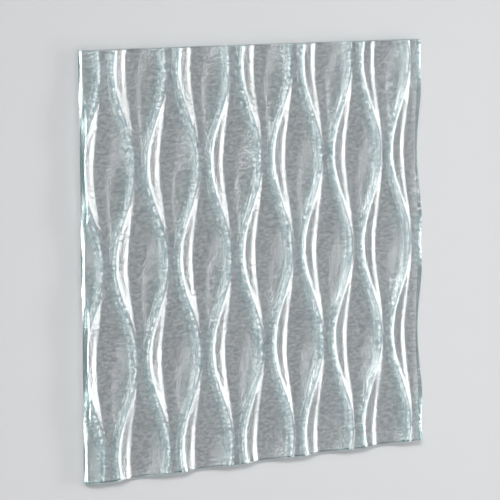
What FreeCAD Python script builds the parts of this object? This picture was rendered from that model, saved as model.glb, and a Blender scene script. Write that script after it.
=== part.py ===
import FreeCAD, Part
import math
import os

os.makedirs("parts", exist_ok=True)

# Cast glass panel, lying on its back face. Lengths in millimetres.
# X runs along the width, Y up the height, Z out of the patterned front.
# The finished panel is centred on the origin and its back rests at Z = 0.

# Outer sizes of the cut panel.
panel_width = 610.0
panel_height = 610.0

# Glass thickness at a ridge, and how far each face sags between ridges.
ridge_thickness = 17.0
front_sag = 13.0
back_sag = 4.0

# Bevel ground along every long edge of the panel.
arris = 1.2

# Pattern of the mould: spacing of the necks across the width, height of one
# full wave of a ridge line, and its sideways swing to each side.
neck_pitch = 112.0
wave_length = 274.5
ridge_swing = 19.0

# Section of a well: how flat its floor is, how crisp the ridges beside it
# are, and how quickly it gets deeper as it widens.
well_flatness = 2.2
ridge_crispness = 0.12
depth_growth = 1.5

# Where the panel is cut from the pattern: first neck from the left edge, and
# the topmost row of necks below the top edge.
first_neck = 33.5
top_row = 28.8

# Spacing of the points that the wavy faces are drawn through.
point_spacing_x = 4.0
point_spacing_y = 10.0

# Number of point spacings in each strip that the wavy faces are divided into.
spans_per_strip = 17


def well_section(across, width):
    """Depth at a place across one well: 0 on its ridges, up to 1."""
    widest = neck_pitch / 2.0 + 2.0 * ridge_swing
    from_middle = abs(2.0 * across - 1.0)
    bowl = (1.0 - from_middle ** well_flatness) ** 2
    eased = (1.0 - ridge_crispness) * bowl
    crisp = ridge_crispness * (1.0 - from_middle ** 2)
    return (eased + crisp) * (width / widest) ** depth_growth


def share_of_well(x, y):
    """Depth of the glass surface at x, y: 0 on a ridge, 1 in a full well."""
    turn = 2.0 * math.pi * (panel_height - top_row - y) / wave_length
    swing = ridge_swing * math.cos(turn)
    along = x - first_neck + neck_pitch / 4.0 - swing
    place = along % neck_pitch
    first_width = neck_pitch / 2.0 - 2.0 * swing
    second_width = neck_pitch - first_width
    if place < first_width:
        return well_section(place / first_width, first_width)
    return well_section((place - first_width) / second_width, second_width)


def front_height(x, y):
    """Height of the patterned front face above the floor."""
    return back_sag + ridge_thickness - front_sag * share_of_well(x, y)


def back_height(x, y):
    """Height of the back face, which follows the wells more gently."""
    return back_sag - back_sag * share_of_well(x, y)


def stations(start, end, spacing):
    """Evenly spaced positions from start to end, both ends included."""
    count = max(8, int(math.ceil((end - start) / spacing)))
    return [start + (end - start) * i / count for i in range(count + 1)]


def wavy_surface(height_of):
    """Smooth surface through the height function, inset by the arris."""
    columns = stations(arris, panel_width - arris, point_spacing_x)
    rows = stations(arris, panel_height - arris, point_spacing_y)
    heights = []
    for x in columns:
        heights.append([height_of(x, y) for y in rows])
    surface = Part.BSplineSurface()
    step_x = columns[1] - columns[0]
    step_y = rows[1] - rows[0]
    surface.interpolate(heights, arris, step_x, arris, step_y)
    return surface


def strips(length, spacing):
    """Start and end of each strip that a wavy face is divided into."""
    places = stations(arris, length - arris, spacing)
    borders = places[:-1:spans_per_strip] + [places[-1]]
    return list(zip(borders[:-1], borders[1:]))


def wavy_faces(surface):
    """The wavy surface as a grid of faces that share their borders."""
    faces = []
    for x_start, x_end in strips(panel_width, point_spacing_x):
        for y_start, y_end in strips(panel_height, point_spacing_y):
            piece = surface.copy()
            piece.segment(x_start, x_end, y_start, y_end)
            faces.append(piece.toShape())
    return faces


def outer_curve(height_of, lift, side):
    """Curve along one outer edge of the panel, lift above its own face."""
    along_x = side in ("bottom", "top")
    length = panel_width if along_x else panel_height
    reach = panel_height if along_x else panel_width
    spacing = point_spacing_x if along_x else point_spacing_y
    outer = 0.0 if side in ("bottom", "left") else reach
    inset = arris if side in ("bottom", "left") else reach - arris
    places = stations(arris, length - arris, spacing)
    points = []
    for place in places:
        spread = (place - arris) * length / (length - 2.0 * arris)
        if along_x:
            z = height_of(place, inset) + lift
            points.append(FreeCAD.Vector(spread, outer, z))
        else:
            z = height_of(inset, place) + lift
            points.append(FreeCAD.Vector(outer, spread, z))
    curve = Part.BSplineCurve()
    curve.interpolate(Points=points, Parameters=places)
    return curve


def face_border(surface, side):
    """Border curve of a wavy surface on one side of the panel."""
    x_start, x_end, y_start, y_end = surface.bounds()
    if side == "left":
        return surface.uIso(x_start)
    if side == "right":
        return surface.uIso(x_end)
    if side == "bottom":
        return surface.vIso(y_start)
    return surface.vIso(y_end)


def edge_pieces(curve, side):
    """The curve along one side as a list of edges, one to each strip."""
    if side in ("bottom", "top"):
        spans = strips(panel_width, point_spacing_x)
    else:
        spans = strips(panel_height, point_spacing_y)
    pieces = []
    for start, end in spans:
        piece = curve.copy()
        piece.segment(start, end)
        pieces.append(piece.toShape())
    return pieces


def bevel_faces(inner_pieces, outer_pieces):
    """Narrow ruled faces of an arris, one to each strip."""
    pairs = zip(inner_pieces, outer_pieces)
    return [Part.makeRuledSurface(inner, outer) for inner, outer in pairs]


def cut_wall(front_pieces, back_pieces):
    """Flat face of one cut side, between its two arrises."""
    front_start = front_pieces[0].firstVertex().Point
    front_end = front_pieces[-1].lastVertex().Point
    back_start = back_pieces[0].firstVertex().Point
    back_end = back_pieces[-1].lastVertex().Point
    corners = [Part.makeLine(back_start, front_start)]
    corners.append(Part.makeLine(front_end, back_end))
    loop = Part.__sortEdges__(front_pieces + back_pieces + corners)
    return Part.Face(Part.Wire(loop))


def edge_faces(front, back, side):
    """The two arrises and the cut wall on one side of the panel."""
    front_inner = edge_pieces(face_border(front, side), side)
    front_outer = edge_pieces(outer_curve(front_height, -arris, side), side)
    back_outer = edge_pieces(outer_curve(back_height, arris, side), side)
    back_inner = edge_pieces(face_border(back, side), side)
    faces = bevel_faces(front_inner, front_outer)
    faces = faces + bevel_faces(back_outer, back_inner)
    return faces + [cut_wall(front_outer, back_outer)]


def glass_panel():
    """The whole panel as one closed solid, centred on the origin."""
    front = wavy_surface(front_height)
    back = wavy_surface(back_height)
    faces = wavy_faces(front) + wavy_faces(back)
    for side in ("bottom", "top", "left", "right"):
        faces = faces + edge_faces(front, back, side)
    shell = Part.makeShell(faces)
    shell.sewShape(0.001)
    solid = Part.makeSolid(shell.Shells[0])
    if solid.Volume < 0.0:
        solid.reverse()
    solid.translate(FreeCAD.Vector(-panel_width / 2.0, -panel_height / 2.0, 0.0))
    return solid


panel = glass_panel()
box = panel.BoundBox
print("valid", panel.isValid(), "closed", panel.Shells[0].isClosed())
print("faces", len(panel.Faces), "volume_mm3", round(panel.Volume, 1), box)
panel.exportStep("parts/glass_panel.step")
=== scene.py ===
"""Cast glass panel lying face up on a pale studio floor."""

import logging
import math
from dataclasses import dataclass, field
from enum import Enum
from typing import Any, Dict, Sequence, Tuple, Union

import bpy
from mathutils import Matrix, Vector


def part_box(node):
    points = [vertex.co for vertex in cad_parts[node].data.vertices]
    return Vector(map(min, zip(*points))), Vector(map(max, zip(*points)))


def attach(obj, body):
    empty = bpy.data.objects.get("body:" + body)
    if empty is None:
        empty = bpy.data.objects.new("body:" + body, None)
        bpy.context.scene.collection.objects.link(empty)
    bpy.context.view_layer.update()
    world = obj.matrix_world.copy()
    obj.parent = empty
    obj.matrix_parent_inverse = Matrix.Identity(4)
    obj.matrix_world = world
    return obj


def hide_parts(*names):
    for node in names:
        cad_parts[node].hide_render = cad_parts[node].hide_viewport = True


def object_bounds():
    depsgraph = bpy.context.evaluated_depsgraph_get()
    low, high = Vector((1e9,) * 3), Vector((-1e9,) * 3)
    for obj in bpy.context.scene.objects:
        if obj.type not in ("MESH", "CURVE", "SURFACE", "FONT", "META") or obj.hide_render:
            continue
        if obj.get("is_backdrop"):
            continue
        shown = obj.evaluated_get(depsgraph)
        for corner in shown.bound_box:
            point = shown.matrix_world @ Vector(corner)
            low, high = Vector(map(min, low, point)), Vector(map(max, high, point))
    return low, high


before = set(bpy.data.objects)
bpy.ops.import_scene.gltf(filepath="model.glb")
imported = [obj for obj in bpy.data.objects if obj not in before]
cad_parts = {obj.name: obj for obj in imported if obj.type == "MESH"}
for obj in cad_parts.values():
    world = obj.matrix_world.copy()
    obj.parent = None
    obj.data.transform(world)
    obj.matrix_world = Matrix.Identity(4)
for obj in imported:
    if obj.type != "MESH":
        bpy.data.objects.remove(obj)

logging.basicConfig(level=logging.INFO, format="%(name)s: %(message)s")
log = logging.getLogger("glass_panel")

Number = Union[int, float, "Expr"]
Settings = Dict[str, Any]


class Face(Enum):
    """The two wide faces of the panel."""

    FRONT = 1.0
    BACK = -1.0


class Expr:
    """A node socket that takes part in ordinary Python arithmetic."""

    def __init__(self, graph: "Graph", socket: bpy.types.NodeSocket) -> None:
        """Wrap a socket.

        Args:
            graph: The graph that new Math nodes are added to.
            socket: The output socket that carries the value.
        """
        self.graph = graph
        self.socket = socket

    def math(self, operation: str, *others: Number) -> "Expr":
        """Add a Math node with this value as its first input.

        Args:
            operation: The Math node's operation.
            others: The second and third inputs, where it has them.

        Returns:
            The Math node's output.
        """
        return self.graph.math(operation, self, *others)

    def __add__(self, other: Number) -> "Expr":
        """Sum of two values."""
        return self.math("ADD", other)

    __radd__ = __add__

    def __sub__(self, other: Number) -> "Expr":
        """This value less another."""
        return self.math("SUBTRACT", other)

    def __rsub__(self, other: Number) -> "Expr":
        """Another value less this one."""
        return self.graph.math("SUBTRACT", other, self)

    def __mul__(self, other: Number) -> "Expr":
        """Product of two values."""
        return self.math("MULTIPLY", other)

    __rmul__ = __mul__

    def __truediv__(self, other: Number) -> "Expr":
        """This value over another."""
        return self.math("DIVIDE", other)

    def __pow__(self, other: Number) -> "Expr":
        """This value raised to a power."""
        return self.math("POWER", other)

    def __mod__(self, other: Number) -> "Expr":
        """Remainder that is never negative."""
        return self.math("FLOORED_MODULO", other)

    def __lt__(self, other: Number) -> "Expr":
        """1 where this value is below another."""
        return self.math("LESS_THAN", other)

    def __gt__(self, other: Number) -> "Expr":
        """1 where this value is above another."""
        return self.math("GREATER_THAN", other)

    def __abs__(self) -> "Expr":
        """Size of the value without its sign."""
        return self.math("ABSOLUTE")


class Graph:
    """A node tree that is built from Python expressions."""

    def __init__(self, tree: bpy.types.NodeTree) -> None:
        """Take over an empty node tree.

        Args:
            tree: The tree that nodes are added to.
        """
        self.tree = tree

    def node(self, kind: str, settings: Settings, inputs: Settings) -> bpy.types.Node:
        """Add one node.

        Args:
            kind: The node's type name.
            settings: Attributes, set first.
            inputs: Values or links by socket name or number.

        Returns:
            The new node.
        """
        made = self.tree.nodes.new(kind)
        for name, value in settings.items():
            setattr(made, name, value)
        for name, value in inputs.items():
            self.feed(made.inputs[name], value)
        return made

    def feed(self, socket: bpy.types.NodeSocket, value: Any) -> None:
        """Link a socket or set its value.

        Args:
            socket: The input socket.
            value: An Expr, an output socket or a plain value.
        """
        if isinstance(value, Expr):
            self.tree.links.new(value.socket, socket)
        elif isinstance(value, bpy.types.NodeSocket):
            self.tree.links.new(value, socket)
        else:
            socket.default_value = value

    def math(self, operation: str, *values: Number) -> Expr:
        """Add a Math node.

        Args:
            operation: The node's operation.
            values: Its inputs, in order.

        Returns:
            The result.
        """
        inputs = dict(enumerate(values))
        made = self.node("ShaderNodeMath", {"operation": operation}, inputs)
        return Expr(self, made.outputs[0])

    def split(self, vector: Any) -> Tuple[Expr, Expr, Expr]:
        """Take a vector apart.

        Args:
            vector: An Expr or an output socket.

        Returns:
            Its X, Y and Z.
        """
        made = self.node("ShaderNodeSeparateXYZ", {}, {0: vector})
        return tuple(Expr(self, made.outputs[i]) for i in range(3))

    def join(self, x: Number, y: Number, z: Number) -> Expr:
        """Put a vector together.

        Args:
            x: Its X.
            y: Its Y.
            z: Its Z.

        Returns:
            The vector.
        """
        made = self.node("ShaderNodeCombineXYZ", {}, {0: x, 1: y, 2: z})
        return Expr(self, made.outputs[0])

    def mix(self, share: Number, first: Any, second: Any) -> bpy.types.NodeSocket:
        """Blend two colours.

        Args:
            share: 0 gives the first colour and 1 the second.
            first: A colour or a colour socket.
            second: A colour or a colour socket.

        Returns:
            The blended colour's socket.
        """
        settings = {"data_type": "RGBA", "clamp_factor": True}
        made = self.node("ShaderNodeMix", settings, {0: share, 6: first, 7: second})
        return made.outputs[2]

    def attribute(self, name: str) -> Expr:
        """Read a named attribute of the surface.

        Args:
            name: The attribute's name.

        Returns:
            Its value there.
        """
        made = self.node("ShaderNodeAttribute", {"attribute_name": name}, {})
        return Expr(self, made.outputs["Fac"])

    def noise(self, place: Any, scale: float, detail: float, rough: float = 0.5) -> Expr:
        """Smooth noise.

        Args:
            place: The coordinates it is read at.
            scale: Cells to a metre.
            detail: Octaves of finer noise.
            rough: Strength of each finer octave.

        Returns:
            A value around 0.5.
        """
        inputs = {"Vector": place, "Scale": scale, "Detail": detail, "Roughness": rough}
        made = self.node("ShaderNodeTexNoise", {"noise_dimensions": "3D"}, inputs)
        return Expr(self, made.outputs[0])


@dataclass(frozen=True)
class ClearCastGlass:
    """Clear kiln-cast glass with a faint aqua body and a rippled skin.

    Beads of opaque frosting along the ridges carry painted white highlights and painted
    aqua glow.
    The cut edges are ground, partly frosted for real and tinted with the same painted aqua
    glow.
    Lengths are in metres, scales in cells to a metre, and a reach is the power
    that narrows a band to its ridge.
    """

    index: float = 1.52
    tint: Tuple[float, float, float, float] = (0.60, 0.93, 0.90, 1.0)
    tint_density: float = 3.5
    polish: float = 0.02
    haze: float = 0.05
    haze_scale: float = 14.0
    drawn_out: float = 0.55
    ripple_scale: float = 230.0
    ripple_detail: float = 3.0
    ripple_rough: float = 0.6
    ripple_depth: float = 0.00052
    mottle: float = 7.0
    skin_clear: Tuple[float, float, float, float] = (1.0, 1.0, 1.0, 1.0)
    skin_dark: Tuple[float, float, float, float] = (0.73, 0.74, 0.75, 1.0)
    # Painted aqua glow: colour laid on the skin near the ridges and on the cut edges,
    # standing in for light that runs long inside the glass.
    painted_glow_colour: Tuple[float, float, float, float] = (0.66, 0.96, 0.96, 1.0)
    painted_glow_share: float = 0.50
    painted_glow_reach: float = 10.0
    ground: float = 0.16
    # Frost colours: painted aqua glow and painted white highlight on the opaque band along
    # the ridges; only the frosting's roughness on the ground edges is real.
    frost_painted_glow_colour: Tuple[float, float, float, float] = (0.25, 0.70, 0.76, 1.0)
    frost_painted_highlight: Tuple[float, float, float, float] = (0.97, 1.0, 1.0, 1.0)
    frost_roughness: float = 0.45
    frost_and_highlight_reach: float = 12.0
    bead_size: float = 0.4
    frost_and_highlight_break: float = 11.0
    frost_and_highlight_fill: float = 0.45
    frost_and_highlight_least: float = 0.2
    frost_and_highlight_share: float = 0.92
    edge_share: float = 0.20
    edge_calm: float = 0.6
    grain_scale: float = 300.0
    grain_depth: float = 0.00010

    def material(self) -> bpy.types.Material:
        """Build the material.

        Returns:
            A node material with a rippled skin, a tinted body, and painted highlights and
            painted aqua glow along the ridges and cut edges.
        """
        made = bpy.data.materials.new("clear_cast_glass")
        made.use_nodes = True
        made.node_tree.nodes.clear()
        graph = Graph(made.node_tree)
        coords = graph.node("ShaderNodeTexCoord", {}, {}).outputs["Object"]
        x, y, z = graph.split(coords)
        drawn = graph.join(x * self.drawn_out, y, z * self.drawn_out)
        ripple = graph.noise(
            drawn, self.ripple_scale, self.ripple_detail, self.ripple_rough
        )
        grain = graph.noise(coords, self.grain_scale, 1.0)
        relief = ripple * self.ripple_depth + grain * self.grain_depth
        bump_inputs = {"Strength": 1.0, "Distance": 1.0, "Height": relief}
        bump = graph.node("ShaderNodeBump", {}, bump_inputs)
        patches = graph.noise(coords, self.haze_scale, 2.0)
        roughness = self.polish + patches * self.haze
        near = graph.attribute("ridge").math("MAXIMUM", 0.0)
        cut = graph.attribute("cut_edge")
        grains = (ripple - 0.5) * self.mottle + 0.5
        clear = graph.mix(grains, self.skin_dark, self.skin_clear)
        face = 1.0 - cut
        # Painted aqua glow, strongest on the ridges and calmer on the cut edges, mixed
        # into the skin's colour.
        painted_glow = near ** self.painted_glow_reach * face
        painted_glow = painted_glow.math("MAXIMUM", cut * self.edge_calm) * self.painted_glow_share
        skin_inputs = {
            "Base Color": graph.mix(painted_glow, clear, self.painted_glow_colour),
            "Roughness": roughness + cut * self.ground,
            "IOR": self.index,
            "Transmission Weight": 1.0,
            "Normal": bump.outputs[0],
        }
        skin = graph.node("ShaderNodeBsdfPrincipled", {}, skin_inputs)
        # Beads break up the band of painted highlight along the ridges and choose between
        # the painted white highlight and the painted aqua glow.
        frost_and_highlight_beads = grain * (1.0 - self.bead_size) + ripple * self.bead_size - 0.5
        frost_and_highlight_beads = frost_and_highlight_beads * self.frost_and_highlight_break + self.frost_and_highlight_fill
        frost_and_highlight_beads = frost_and_highlight_beads.math("MAXIMUM", 0.0).math("MINIMUM", 1.0)
        frost_and_highlight_beads = frost_and_highlight_beads + cut * self.edge_calm * (0.5 - frost_and_highlight_beads)
        broken = frost_and_highlight_beads * (1.0 - self.frost_and_highlight_least) + self.frost_and_highlight_least
        frost_and_highlight_streak = near ** self.frost_and_highlight_reach * broken * face
        frost_and_highlight_cover = (frost_and_highlight_streak * self.frost_and_highlight_share).math("MAXIMUM", cut * self.edge_share)
        frost_and_highlight_inputs = {
            "Base Color": graph.mix(frost_and_highlight_beads, self.frost_painted_glow_colour, self.frost_painted_highlight),
            "Roughness": self.frost_roughness,
            "IOR": self.index,
            "Normal": bump.outputs[0],
        }
        # Opaque frosted layer: painted highlight and painted aqua glow on the ridges,
        # partly real ground frosting on the cut edges.
        frost_and_highlight = graph.node("ShaderNodeBsdfPrincipled", {}, frost_and_highlight_inputs)
        surface = graph.node(
            "ShaderNodeMixShader",
            {},
            {0: frost_and_highlight_cover, 1: skin.outputs[0], 2: frost_and_highlight.outputs[0]},
        )
        body = graph.node(
            "ShaderNodeVolumeAbsorption",
            {},
            {"Color": self.tint, "Density": self.tint_density},
        )
        graph.node(
            "ShaderNodeOutputMaterial",
            {},
            {"Surface": surface.outputs[0], "Volume": body.outputs[0]},
        )
        return made


@dataclass(frozen=True)
class PlainFloor:
    """Pale matt studio floor."""

    colour: Tuple[float, float, float, float] = (0.50, 0.505, 0.51, 1.0)
    roughness: float = 0.9
    shine: float = 0.1

    def material(self) -> bpy.types.Material:
        """Build the material.

        Returns:
            A matt material.
        """
        made = bpy.data.materials.new("pale_floor")
        made.use_nodes = True
        made.node_tree.nodes.clear()
        graph = Graph(made.node_tree)
        skin = graph.node(
            "ShaderNodeBsdfPrincipled",
            {},
            {
                "Base Color": self.colour,
                "Roughness": self.roughness,
                "Specular IOR Level": self.shine,
            },
        )
        graph.node("ShaderNodeOutputMaterial", {}, {"Surface": skin.outputs[0]})
        return made


@dataclass
class GlassPanel:
    """The cast glass panel. Lengths are in metres."""

    node: str = "glass_panel"
    slot: str = "clear_cast_glass"
    ridge_thickness: float = 0.017
    front_sag: float = 0.013
    back_sag: float = 0.004
    arris: float = 0.0012
    neck_pitch: float = 0.112
    wave_length: float = 0.2745
    ridge_swing: float = 0.019
    well_flatness: float = 2.2
    ridge_crispness: float = 0.12
    depth_growth: float = 1.5
    first_neck: float = 0.0335
    top_row: float = 0.0288
    columns: int = 300
    rows: int = 160
    ripple_depth: float = 0.00025
    ripple_scale: float = 55.0
    ripple_stretch: float = 0.6
    crease: float = 28.0
    finish: ClearCastGlass = field(default_factory=ClearCastGlass)

    def sizes(self) -> Dict[str, float]:
        """The named inputs of the panel's node tree.

        Returns:
            Each input's name and value, the overall size among them.
        """
        low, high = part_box(self.node)
        return {
            "Panel Width": high[0] - low[0],
            "Panel Height": high[1] - low[1],
            "Ridge Thickness": self.ridge_thickness,
            "Front Sag": self.front_sag,
            "Back Sag": self.back_sag,
            "Arris": self.arris,
            "Neck Pitch": self.neck_pitch,
            "Wave Length": self.wave_length,
            "Ridge Swing": self.ridge_swing,
            "Well Flatness": self.well_flatness,
            "Ridge Crispness": self.ridge_crispness,
            "Depth Growth": self.depth_growth,
            "First Neck": self.first_neck,
            "Top Row": self.top_row,
            "Ripple Depth": self.ripple_depth,
            "Ripple Scale": self.ripple_scale,
        }

    @staticmethod
    def well_section(size: Dict[str, Expr], from_middle: Expr, width: Expr) -> Expr:
        """Depth at a place across one well.

        Args:
            size: The panel's sizes.
            from_middle: 0 in the middle of the well and 1 on its ridges.
            width: Distance between the two ridges.

        Returns:
            0 on a ridge, up to 1 in the widest well.
        """
        widest = size["Neck Pitch"] / 2.0 + 2.0 * size["Ridge Swing"]
        bowl = (1.0 - from_middle ** size["Well Flatness"]) ** 2.0
        crisp = size["Ridge Crispness"]
        section = (1.0 - crisp) * bowl + crisp * (1.0 - from_middle * from_middle)
        return section * (width / widest) ** size["Depth Growth"]

    def share_of_well(
        self, size: Dict[str, Expr], x: Expr, y: Expr
    ) -> Tuple[Expr, Expr]:
        """Depth of the surface, 0 on a ridge and 1 in a full well.

        Args:
            size: The panel's sizes.
            x: Distance from the left edge.
            y: Distance from the bottom edge.

        Returns:
            The depth at that place, and how near a ridge is, up to 1 on it.
        """
        below_top = size["Panel Height"] - size["Top Row"] - y
        turn = below_top * (2.0 * math.pi) / size["Wave Length"]
        swing = size["Ridge Swing"] * turn.math("COSINE")
        pitch = size["Neck Pitch"]
        place = (x - size["First Neck"] + pitch / 4.0 - swing) % pitch
        first = pitch / 2.0 - 2.0 * swing
        second = pitch - first
        in_first = place < first
        width = in_first * first + (1.0 - in_first) * second
        across = (place - (1.0 - in_first) * first) / width
        from_middle = abs(2.0 * across - 1.0)
        return self.well_section(size, from_middle, width), from_middle

    def height(self, size: Dict[str, Expr], share: Expr, face: Face) -> Expr:
        """Height of one face above the floor.

        Args:
            size: The panel's sizes.
            share: Depth of the surface there, from 0 to 1.
            face: Front or back.

        Returns:
            The height in metres.
        """
        if face is Face.FRONT:
            crest = size["Back Sag"] + size["Ridge Thickness"]
            return crest - size["Front Sag"] * share
        return size["Back Sag"] - size["Back Sag"] * share

    @staticmethod
    def along(count: int, place: Expr, length: Expr, arris: Expr) -> Tuple[Expr, Expr]:
        """Spread one row of grid points over the panel.

        Args:
            count: Points in the row.
            place: Position of a point on the plain block, from -1 to 1.
            length: Length of the panel along the row.
            arris: Width of the bevel at both ends.

        Returns:
            The position inside the bevels, and -1, 0 or 1 for a point on the
            near edge, inside or on the far edge.
        """
        step = (place + 1.0) * ((count - 1) / 2.0)
        share = ((step - 1.0) / (count - 3.0)).math("MAXIMUM", 0.0).math("MINIMUM", 1.0)
        inside = share * (length - 2.0 * arris) + arris
        end = (step > count - 1.5) - (step < 0.5)
        return inside, end

    def tree(self, material: bpy.types.Material) -> Tuple[Any, Dict[str, str]]:
        """Build the node tree of the panel.

        Args:
            material: The finish that the tree sets.

        Returns:
            The tree, and the identifier of each named input.
        """
        made = bpy.data.node_groups.new("wavy_panel", "GeometryNodeTree")
        graph = Graph(made)
        face = made.interface
        face.new_socket("Geometry", in_out="OUTPUT", socket_type="NodeSocketGeometry")
        keys: Dict[str, str] = {}
        for name in self.sizes():
            item = face.new_socket(name, in_out="INPUT", socket_type="NodeSocketFloat")
            keys[name] = item.identifier
        given = graph.node("NodeGroupInput", {}, {})
        size = {name: Expr(graph, given.outputs[name]) for name in keys}
        block = graph.node(
            "GeometryNodeMeshCube",
            {},
            {
                "Size": (2.0, 2.0, 2.0),
                "Vertices X": self.columns,
                "Vertices Y": self.rows,
                "Vertices Z": 2,
            },
        )
        position = graph.node("GeometryNodeInputPosition", {}, {}).outputs[0]
        bx, by, bz = graph.split(position)
        arris = size["Arris"]
        x, x_end = self.along(self.columns, bx, size["Panel Width"], arris)
        y, y_end = self.along(self.rows, by, size["Panel Height"], arris)
        on_edge = abs(x_end).math("MAXIMUM", abs(y_end))
        share, nearness = self.share_of_well(size, x, y)
        on_front = bz > 0.0
        ripple = self.ripple(graph, size, x, y, bz)
        front = self.height(size, share, Face.FRONT) - arris * on_edge - ripple
        back = self.height(size, share, Face.BACK) + arris * on_edge + ripple
        z = on_front * front + (1.0 - on_front) * back
        moved = graph.join(
            x + arris * x_end - size["Panel Width"] / 2.0,
            y + arris * y_end - size["Panel Height"] / 2.0,
            z,
        )
        marked = block.outputs["Mesh"]
        for name, value in (("ridge", nearness), ("cut_edge", on_edge)):
            marked = graph.node(
                "GeometryNodeStoreNamedAttribute",
                {"data_type": "FLOAT", "domain": "POINT"},
                {"Geometry": marked, "Name": name, "Value": value},
            ).outputs[0]
        waved = graph.node(
            "GeometryNodeSetPosition",
            {},
            {"Geometry": marked, "Position": moved},
        )
        shown = self.dressed(graph, waved, material)
        graph.node("NodeGroupOutput", {}, {"Geometry": shown})
        return made, keys

    def ripple(
        self, graph: Graph, size: Dict[str, Expr], x: Expr, y: Expr, side: Expr
    ) -> Expr:
        """Shallow kiln ripple, drawn out across the panel.

        Args:
            graph: The graph to build in.
            size: The panel's sizes.
            x: Distance from the left edge.
            y: Distance from the bottom edge.
            side: Different on the front and the back.

        Returns:
            A depth that is never negative.
        """
        place = graph.join(x * self.ripple_stretch, y, side * 0.3)
        wave = graph.noise(place, self.ripple_scale, 2.0)
        return size["Ripple Depth"] * wave

    def dressed(self, graph: Graph, shaped: Any, material: bpy.types.Material) -> Any:
        """Shade the faces smooth between sharp edges and set the finish.

        Args:
            graph: The graph to build in.
            shaped: The node whose geometry is dressed.
            material: The finish.

        Returns:
            The last geometry socket.
        """
        angle = graph.node("GeometryNodeInputMeshEdgeAngle", {}, {})
        sharp = Expr(graph, angle.outputs["Unsigned Angle"]) > math.radians(self.crease)
        soft = graph.node(
            "GeometryNodeSetShadeSmooth",
            {"domain": "FACE"},
            {"Geometry": shaped.outputs[0], "Shade Smooth": True},
        )
        crisp = graph.node(
            "GeometryNodeSetShadeSmooth",
            {"domain": "EDGE"},
            {"Geometry": soft.outputs[0], "Selection": sharp, "Shade Smooth": False},
        )
        real = graph.node("GeometryNodeRealizeInstances", {}, {0: crisp.outputs[0]})
        done = graph.node(
            "GeometryNodeSetMaterial",
            {},
            {"Geometry": real.outputs[0], "Material": material},
        )
        return done.outputs[0]

    def build(self) -> bpy.types.Object:
        """Returns:
            The finished object.
        """
        material = self.finish.material()
        tree, keys = self.tree(material)
        made = plain_mesh("panel_glass", tree, keys, self.sizes())
        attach(made, "root")
        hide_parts(self.node)
        return made


def plain_mesh(
    name: str, tree: Any, keys: Dict[str, str], sizes: Dict[str, float]
) -> bpy.types.Object:
    """Run a geometry node tree and keep its result as a plain mesh.

    Args:
        name: Name of the finished object.
        tree: The geometry node tree.
        keys: Identifier of each named input.
        sizes: Value of each named input.

    Returns:
        An object at the origin with no modifier.
    """
    seed = bpy.data.objects.new(name + "_start", bpy.data.meshes.new(name + "_start"))
    bpy.context.scene.collection.objects.link(seed)
    modifier = seed.modifiers.new("shape", "NODES")
    modifier.node_group = tree
    for label, value in sizes.items():
        modifier[keys[label]] = value
    seed.update_tag()
    graph = bpy.context.evaluated_depsgraph_get()
    mesh = bpy.data.meshes.new_from_object(seed.evaluated_get(graph), depsgraph=graph)
    mesh.name = name
    seed.modifiers.remove(modifier)
    bpy.data.objects.remove(seed)
    made = bpy.data.objects.new(name, mesh)
    bpy.context.scene.collection.objects.link(made)
    return made


def aimed_lamp(
    name: str, data: bpy.types.Light, place: Sequence[float]
) -> bpy.types.Object:
    """Add a lamp that faces the panel.

    Args:
        name: Name of the lamp.
        data: The light that it gives.
        place: Where it hangs.

    Returns:
        The lamp object.
    """
    lamp = bpy.data.objects.new(name, data)
    lamp.location = place
    lamp.rotation_mode = "QUATERNION"
    lamp.rotation_quaternion = (-Vector(place)).to_track_quat("-Z", "Y")
    bpy.context.scene.collection.objects.link(lamp)
    return lamp


@dataclass(frozen=True)
class Softbox:
    """A rectangular lamp with a grid that limits its spread, in degrees."""

    name: str
    place: Tuple[float, float, float]
    size: Tuple[float, float]
    watts: float
    spread: float

    def hang(self) -> bpy.types.Object:
        """Add the lamp.

        Returns:
            The lamp object.
        """
        data = bpy.data.lights.new(self.name, "AREA")
        data.shape = "RECTANGLE"
        data.size, data.size_y = self.size
        data.energy = self.watts
        data.spread = math.radians(self.spread)
        return aimed_lamp(self.name, data, self.place)


@dataclass(frozen=True)
class BroadLight:
    """An even light from one side, with its softness in degrees."""

    name: str
    place: Tuple[float, float, float]
    strength: float
    softness: float

    def hang(self) -> bpy.types.Object:
        """Add the lamp.

        Returns:
            The lamp object.
        """
        data = bpy.data.lights.new(self.name, "SUN")
        data.energy = self.strength
        data.angle = math.radians(self.softness)
        return aimed_lamp(self.name, data, self.place)


LAMPS = (
    Softbox("side_strip", (2.0, -0.2, 0.74), (1.8, 0.46), 3.2, 50.0),
    Softbox("overhead", (0.12, 0.1, 2.6), (0.16, 3.2), 22.0, 180.0),
    BroadLight("key", (-1.5, 1.2, 2.0), 2.45, 14.0),
)


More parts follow.
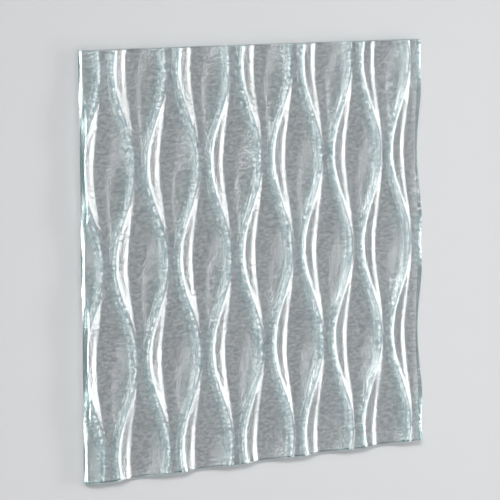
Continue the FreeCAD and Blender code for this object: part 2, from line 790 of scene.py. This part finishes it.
@dataclass
class Studio:
    """Floor, soft light and camera. Lengths are in metres, angles in degrees."""

    floor_reach: float = 30.0
    turn: float = 37.05
    tip: float = 5.74
    roll: float = -0.515
    distance: float = 4.5447
    aim: Tuple[float, float] = (-0.004875, 0.00526)
    lens: float = 224.2
    sensor: float = 36.0
    far: float = 100.0
    sky_light: float = 0.38
    sky_seen: float = 0.52
    sky_colour: Tuple[float, float, float, float] = (0.95, 0.97, 1.0, 1.0)
    lamps: Tuple[Union[Softbox, BroadLight], ...] = LAMPS
    floor: PlainFloor = field(default_factory=PlainFloor)

    def lay_floor(self) -> bpy.types.Object:
        """Lay the floor that the panel rests on.

        Returns:
            The floor object.
        """
        reach = self.floor_reach
        corners = [(-reach, -reach, 0.0), (reach, -reach, 0.0)]
        corners += [(reach, reach, 0.0), (-reach, reach, 0.0)]
        mesh = bpy.data.meshes.new("floor")
        mesh.from_pydata(corners, [], [(0, 1, 2, 3)])
        mesh.materials.append(self.floor.material())
        made = bpy.data.objects.new("floor", mesh)
        bpy.context.scene.collection.objects.link(made)
        made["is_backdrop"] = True
        return made

    def light(self) -> None:
        """Light the floor and the panel softly."""
        world = bpy.data.worlds.new("studio")
        bpy.context.scene.world = world
        world.use_nodes = True
        world.node_tree.nodes.clear()
        graph = Graph(world.node_tree)
        rays = graph.node("ShaderNodeLightPath", {}, {})
        seen = Expr(graph, rays.outputs["Is Camera Ray"])
        seen = seen.math("MAXIMUM", rays.outputs["Is Glossy Ray"])
        seen = seen.math("MAXIMUM", rays.outputs["Is Transmission Ray"])
        strength = self.sky_light + seen * (self.sky_seen - self.sky_light)
        sky_inputs = {"Color": self.sky_colour, "Strength": strength}
        sky = graph.node("ShaderNodeBackground", {}, sky_inputs)
        graph.node("ShaderNodeOutputWorld", {}, {"Surface": sky.outputs[0]})
        for lamp in self.lamps:
            lamp.hang()

    def place_camera(self) -> bpy.types.Object:
        """Set the camera over the front face, looking down on it.

        Returns:
            The camera object.
        """
        turn, tip, roll = (math.radians(v) for v in (self.turn, self.tip, self.roll))
        level = math.cos(tip)
        look = Vector((math.sin(turn) * level, -math.sin(tip), -math.cos(turn) * level))
        right = look.cross(Vector((0.0, 1.0, 0.0))).normalized()
        up = right.cross(look)
        side = math.cos(roll) * right + math.sin(roll) * up
        top = math.cos(roll) * up - math.sin(roll) * right
        centre = sum(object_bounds(), Vector()) / 2.0
        centre.z = 0.0
        place = centre - look * self.distance + side * self.aim[0] + top * self.aim[1]
        data = bpy.data.cameras.new("camera")
        data.sensor_width = self.sensor
        data.lens = self.lens
        data.clip_end = self.far
        camera = bpy.data.objects.new("camera", data)
        bpy.context.scene.collection.objects.link(camera)
        camera.matrix_world = Matrix.Translation(place) @ Matrix(
            (
                (side.x, top.x, -look.x, 0.0),
                (side.y, top.y, -look.y, 0.0),
                (side.z, top.z, -look.z, 0.0),
                (0.0, 0.0, 0.0, 1.0),
            )
        )
        bpy.context.scene.camera = camera
        return camera

    def build(self) -> None:
        """Lay the floor, hang the lamps and place the camera."""
        self.lay_floor()
        self.light()
        self.place_camera()
        bpy.context.scene.view_settings.view_transform = "Standard"


def main() -> None:
    """Build the panel and the studio in order."""
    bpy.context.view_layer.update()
    panel = GlassPanel().build()
    log.info("%s has %d faces", panel.name, len(panel.data.polygons))
    Studio().build()
    log.info("studio is ready")


if __name__ == "__main__":
    main()
